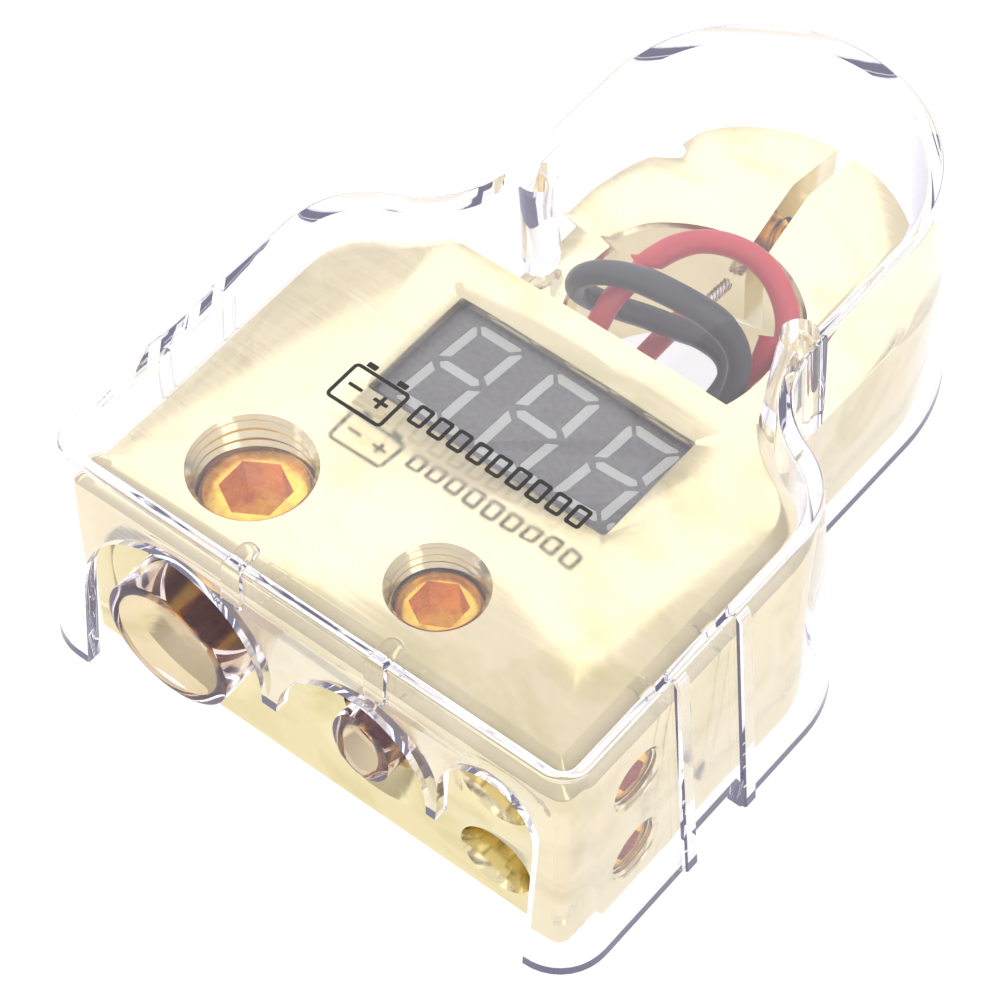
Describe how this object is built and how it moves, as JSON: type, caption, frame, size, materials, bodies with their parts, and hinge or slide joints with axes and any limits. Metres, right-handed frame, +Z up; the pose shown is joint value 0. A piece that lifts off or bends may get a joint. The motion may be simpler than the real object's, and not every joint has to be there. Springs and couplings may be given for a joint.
{
  "type": "battery_post_clamp_with_voltmeter",
  "caption": "Gold-plated battery post clamp with side wire bores, set screws, built-in digital voltmeter and clear lift-off cover",
  "frame": {"origin": "underside of the casting, below the middle of the overall box", "axes": "+X right seen from the wire side, +Y towards the battery post, +Z up"},
  "size_m": [0.0534, 0.073, 0.024],
  "materials": {
    "gold_plate": "pale gold plating over a cast and milled zinc body, fine linear brush marks on the flats",
    "screw_gold": "deep yellow gold plating, turned and chamfered, bright socket",
    "clear_plastic": "water-clear moulded polycarbonate, polished, faint violet tint at the edges",
    "clear_vinyl": "clear soft vinyl tube, cut ends look mauve, satin",
    "display_grey": "grey display face, smooth satin",
    "diffuser_white": "milky grey-white light diffuser",
    "case_black": "fine-textured black moulding",
    "board_green": "green solder mask over glass-epoxy board",
    "tinned_metal": "tinned or zinc-plated bright metal",
    "red_insulation": "red vinyl wire insulation, satin",
    "black_insulation": "black vinyl wire insulation, satin",
    "bush_grey": "soft grey rubber",
    "trimmer_blue": "blue moulded trimmer body",
    "capacitor_tan": "tan ceramic body"
  },
  "bodies": {
    "root": {"terminal_casting": "gold_plate", "display_face": "display_grey", "digit_1_diffuser": "diffuser_white", "digit_2_diffuser": "diffuser_white", "digit_3_diffuser": "diffuser_white", "display_case": "case_black", "front_pin_strip": "case_black", "rear_pin_strip": "case_black", "circuit_board": "board_green", "controller_chip": "case_black", "voltage_regulator": "case_black", "input_capacitor": "capacitor_tan", "output_capacitor": "capacitor_tan", "sense_resistor": "case_black", "polarity_diode": "case_black", "calibration_trimmer": "trimmer_blue", "closing_plate": "case_black", "left_plate_screw": "tinned_metal", "right_plate_screw": "tinned_metal", "red_lead": "red_insulation", "black_lead": "black_insulation", "red_lead_tip": "tinned_metal", "black_lead_tip": "tinned_metal", "red_lead_bush": "bush_grey", "black_lead_bush": "bush_grey", "red_lead_solder": "tinned_metal", "black_lead_solder": "tinned_metal"},
    "cover": {"clear_cover": "clear_plastic"},
    "large_screw": {"large_set_screw": "screw_gold"},
    "medium_screw": {"medium_set_screw": "screw_gold"},
    "lower_side_screw": {"lower_side_set_screw": "screw_gold"},
    "upper_side_screw": {"upper_side_set_screw": "screw_gold"},
    "clamp": {"clamp_bolt": "screw_gold"},
    "large_sleeve": {"large_wire_sleeve": "clear_vinyl"},
    "medium_sleeve": {"medium_wire_sleeve": "clear_vinyl"}
  },
  "joints": [
    {"name": "cover_lift", "type": "slide", "parent": "root", "child": "cover", "axis": [0, 0, 1], "range_m": [0, 0.04]},
    {"name": "large_screw_travel", "type": "slide", "parent": "root", "child": "large_screw", "axis": [0, 0, 1], "range_m": [-0.0045, 0.002]},
    {"name": "medium_screw_travel", "type": "slide", "parent": "root", "child": "medium_screw", "axis": [0, 0, 1], "range_m": [-0.0037, 0.002]},
    {"name": "lower_side_screw_travel", "type": "slide", "parent": "root", "child": "lower_side_screw", "axis": [1, 0, 0], "range_m": [-0.0022, 0.0008]},
    {"name": "upper_side_screw_travel", "type": "slide", "parent": "root", "child": "upper_side_screw", "axis": [1, 0, 0], "range_m": [-0.0022, 0.0008]},
    {"name": "clamp_bolt_travel", "type": "slide", "parent": "root", "child": "clamp", "axis": [1, 0, 0], "range_m": [-0.0014, 0]},
    {"name": "large_sleeve_pull", "type": "slide", "parent": "root", "child": "large_sleeve", "axis": [0, -1, 0], "range_m": [0, 0.012]},
    {"name": "medium_sleeve_pull", "type": "slide", "parent": "root", "child": "medium_sleeve", "axis": [0, -1, 0], "range_m": [0, 0.012]}
  ]
}
